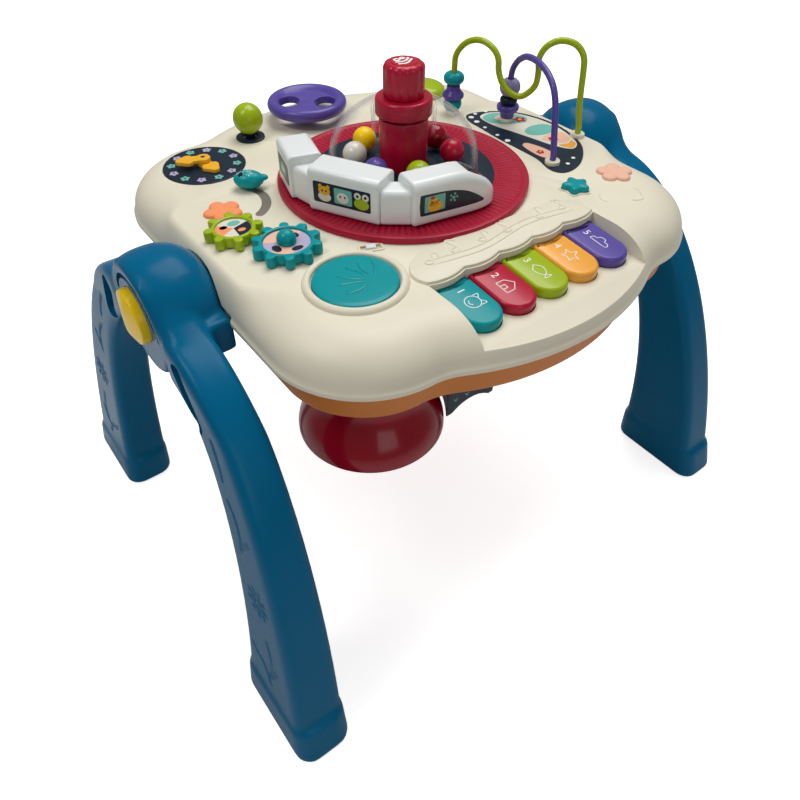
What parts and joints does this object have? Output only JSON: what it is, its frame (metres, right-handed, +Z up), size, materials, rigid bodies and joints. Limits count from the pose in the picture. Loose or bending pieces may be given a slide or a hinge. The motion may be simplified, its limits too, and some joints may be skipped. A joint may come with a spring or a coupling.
{
  "type": "activity table",
  "caption": "Toddler's activity table on two splayed leg arches, with a turning train track, ball popper, piano keys, drum, gears, clock, bead wires, wheel and stick",
  "frame": {"origin": "on the floor, under the middle of the table's box", "axes": "+X runs across the table from the left leg arch to the right one, +Y points away from the side with the piano keys, +Z is up"},
  "size_m": [0.4672, 0.3972, 0.3685],
  "materials": {
    "cream": "moulded, satin",
    "orange": "moulded, satin",
    "blue": "moulded, semi-gloss",
    "yellow": "moulded, semi-gloss",
    "crimson": "moulded, gloss",
    "red": "moulded, gloss",
    "navy": "moulded, satin",
    "lime": "moulded, semi-gloss",
    "teal": "moulded, semi-gloss",
    "purple": "moulded, semi-gloss",
    "lilac": "moulded, satin",
    "white": "moulded, gloss",
    "peach": "moulded, fine texture",
    "salmon": "moulded, fine texture",
    "steel": "plain steel",
    "board": "resin board",
    "clear": "clear moulded plastic"
  },
  "bodies": {
    "base": {"top_shell": "cream", "bottom_shell": "orange", "left_arch": "blue", "right_arch": "blue", "popper_base": "navy", "clear_dome": "clear", "inner_column": "crimson", "knob_spring": "steel", "key_axle": "steel", "drum_bell": "crimson", "clock_face": "navy", "picture_panel": "navy", "green_wire": "lime", "purple_wire": "purple", "stick_socket": "navy", "orange_flower": "salmon", "peach_flower": "peach", "circuit_board": "board", "speaker": "steel", "battery_box": "navy"},
    "track": {"turntable": "crimson", "engine": "white", "coach": "white", "rear_car": "white", "front_bellows": "white", "rear_bellows": "white"},
    "balls": {"ball_tray": "navy", "yellow_ball": "yellow", "white_ball": "white", "purple_ball": "purple", "lime_ball": "lime", "red_ball": "red", "crimson_ball": "crimson"},
    "plunger": {"popper_knob": "crimson", "knob_collar": "crimson"},
    "piano_key_1": {"piano_key_1": "teal"},
    "piano_key_2": {"piano_key_2": "crimson"},
    "piano_key_3": {"piano_key_3": "lime"},
    "piano_key_4": {"piano_key_4": "salmon"},
    "piano_key_5": {"piano_key_5": "purple"},
    "drum": {"drum_pad": "teal"},
    "star": {"star_button": "teal"},
    "cap": {"lime_cap": "lime"},
    "switch": {"power_switch": "cream"},
    "big_gear": {"teal_gear": "teal", "gear_knob": "teal"},
    "small_gear": {"lime_gear": "lime"},
    "hours": {"hour_hand": "yellow"},
    "minutes": {"minute_hand": "yellow"},
    "slider": {"slider_head": "teal"},
    "stick": {"gear_stick": "lime"},
    "wheel": {"steering_wheel": "purple"},
    "top_green_bead": {"teal_bead": "teal"},
    "middle_green_bead": {"purple_cup_bead": "purple"},
    "low_green_bead": {"teal_barrel_bead": "teal"},
    "top_purple_bead": {"rosette_bead": "lilac"},
    "middle_purple_bead": {"navy_ring_bead": "navy"},
    "low_purple_bead": {"purple_base_bead": "purple"},
    "left_lock": {"left_lock_knob": "yellow"},
    "right_lock": {"right_lock_knob": "yellow"}
  },
  "joints": [
    {"name": "track_turn", "type": "hinge", "parent": "base", "child": "track", "pos_m": [0, 0, 0.292], "axis": [0, 0, 1], "continuous": true},
    {"name": "balls_turn", "type": "hinge", "parent": "base", "child": "balls", "pos_m": [0, 0, 0.298], "axis": [0, 0, 1], "continuous": true},
    {"name": "plunger_press", "type": "slide", "parent": "base", "child": "plunger", "axis": [0, 0, -1], "range_m": [0, 0.01], "stiffness_N_per_m": 400, "springref_m": -0.004, "deforming": ["knob_spring"]},
    {"name": "key_1_press", "type": "hinge", "parent": "base", "child": "piano_key_1", "pos_m": [-0.0516, -0.11856, 0.27993], "axis": [1, 0, 0], "range_deg": [0, 4.5], "stiffness_Nm_per_rad": 0.02, "springref_deg": -22.92},
    {"name": "key_2_press", "type": "hinge", "parent": "base", "child": "piano_key_2", "pos_m": [-0.0248, -0.11856, 0.27993], "axis": [1, 0, 0], "range_deg": [0, 4.5], "stiffness_Nm_per_rad": 0.02, "springref_deg": -22.92},
    {"name": "key_3_press", "type": "hinge", "parent": "base", "child": "piano_key_3", "pos_m": [0.002, -0.11856, 0.27993], "axis": [1, 0, 0], "range_deg": [0, 4.5], "stiffness_Nm_per_rad": 0.02, "springref_deg": -22.92},
    {"name": "key_4_press", "type": "hinge", "parent": "base", "child": "piano_key_4", "pos_m": [0.0288, -0.11856, 0.27993], "axis": [1, 0, 0], "range_deg": [0, 4.5], "stiffness_Nm_per_rad": 0.02, "springref_deg": -22.92},
    {"name": "key_5_press", "type": "hinge", "parent": "base", "child": "piano_key_5", "pos_m": [0.0556, -0.11856, 0.27993], "axis": [1, 0, 0], "range_deg": [0, 4.5], "stiffness_Nm_per_rad": 0.02, "springref_deg": -22.92},
    {"name": "drum_press", "type": "slide", "parent": "base", "child": "drum", "axis": [0, 0, -1], "range_m": [0, 0.0025], "stiffness_N_per_m": 300, "springref_m": -0.003},
    {"name": "star_press", "type": "slide", "parent": "base", "child": "star", "axis": [0, 0, -1], "range_m": [0, 0.003], "stiffness_N_per_m": 200, "springref_m": -0.003},
    {"name": "cap_press", "type": "slide", "parent": "base", "child": "cap", "axis": [0, 0, -1], "range_m": [0, 0.003], "stiffness_N_per_m": 300, "springref_m": -0.003},
    {"name": "switch_slide", "type": "slide", "parent": "base", "child": "switch", "axis": [0.9272, -0.3746, 0], "range_m": [-0.0032, 0.0032]},
    {"name": "big_gear_turn", "type": "hinge", "parent": "base", "child": "big_gear", "pos_m": [-0.1136, -0.0332, 0.294], "axis": [0, 0, 1], "continuous": true},
    {"name": "small_gear_turn", "type": "hinge", "parent": "base", "child": "small_gear", "pos_m": [-0.132, 0.0002, 0.294], "axis": [0, 0, 1], "continuous": true},
    {"name": "hour_hand_turn", "type": "hinge", "parent": "base", "child": "hours", "pos_m": [-0.1047, 0.1002, 0.292], "axis": [0, 0, 1], "continuous": true},
    {"name": "minute_hand_turn", "type": "hinge", "parent": "base", "child": "minutes", "pos_m": [-0.1047, 0.1002, 0.295], "axis": [0, 0, 1], "continuous": true},
    {"name": "slider_swing", "type": "hinge", "parent": "base", "child": "slider", "pos_m": [-0.118, 0.039, 0.282], "axis": [0, 0, 1], "range_deg": [-88, 4]},
    {"name": "stick_tilt", "type": "hinge", "parent": "base", "child": "stick", "pos_m": [-0.0558, 0.121, 0.284], "axis": [1, 0, 0], "range_deg": [-15, 15]},
    {"name": "wheel_turn", "type": "hinge", "parent": "base", "child": "wheel", "pos_m": [0, 0.127, 0.297], "axis": [0, 0, 1], "continuous": true},
    {"name": "top_green_bead_lift", "type": "slide", "parent": "base", "child": "top_green_bead", "axis": [0, 0, 1], "range_m": [0, 0.008]},
    {"name": "middle_green_bead_spin", "type": "hinge", "parent": "base", "child": "middle_green_bead", "pos_m": [0.099, 0.064, 0.307], "axis": [0, 0, 1], "continuous": true},
    {"name": "low_green_bead_spin", "type": "hinge", "parent": "base", "child": "low_green_bead", "pos_m": [0.099, 0.064, 0.298], "axis": [0, 0, 1], "continuous": true},
    {"name": "top_purple_bead_lift", "type": "slide", "parent": "base", "child": "top_purple_bead", "axis": [0, 0, 1], "range_m": [0, 0.003]},
    {"name": "middle_purple_bead_spin", "type": "hinge", "parent": "base", "child": "middle_purple_bead", "pos_m": [0.124, 0.026, 0.306], "axis": [0, 0, 1], "continuous": true},
    {"name": "low_purple_bead_spin", "type": "hinge", "parent": "base", "child": "low_purple_bead", "pos_m": [0.124, 0.026, 0.298], "axis": [0, 0, 1], "continuous": true},
    {"name": "left_lock_turn", "type": "hinge", "parent": "base", "child": "left_lock", "pos_m": [-0.201, 0, 0.262], "axis": [1, 0, 0], "range_deg": [0, 90]},
    {"name": "right_lock_turn", "type": "hinge", "parent": "base", "child": "right_lock", "pos_m": [0.201, 0, 0.262], "axis": [1, 0, 0], "range_deg": [0, 90]}
  ],
  "couplings": [
    {"joint": "small_gear_turn", "follows": "big_gear_turn", "ratio": -1.25}
  ]
}
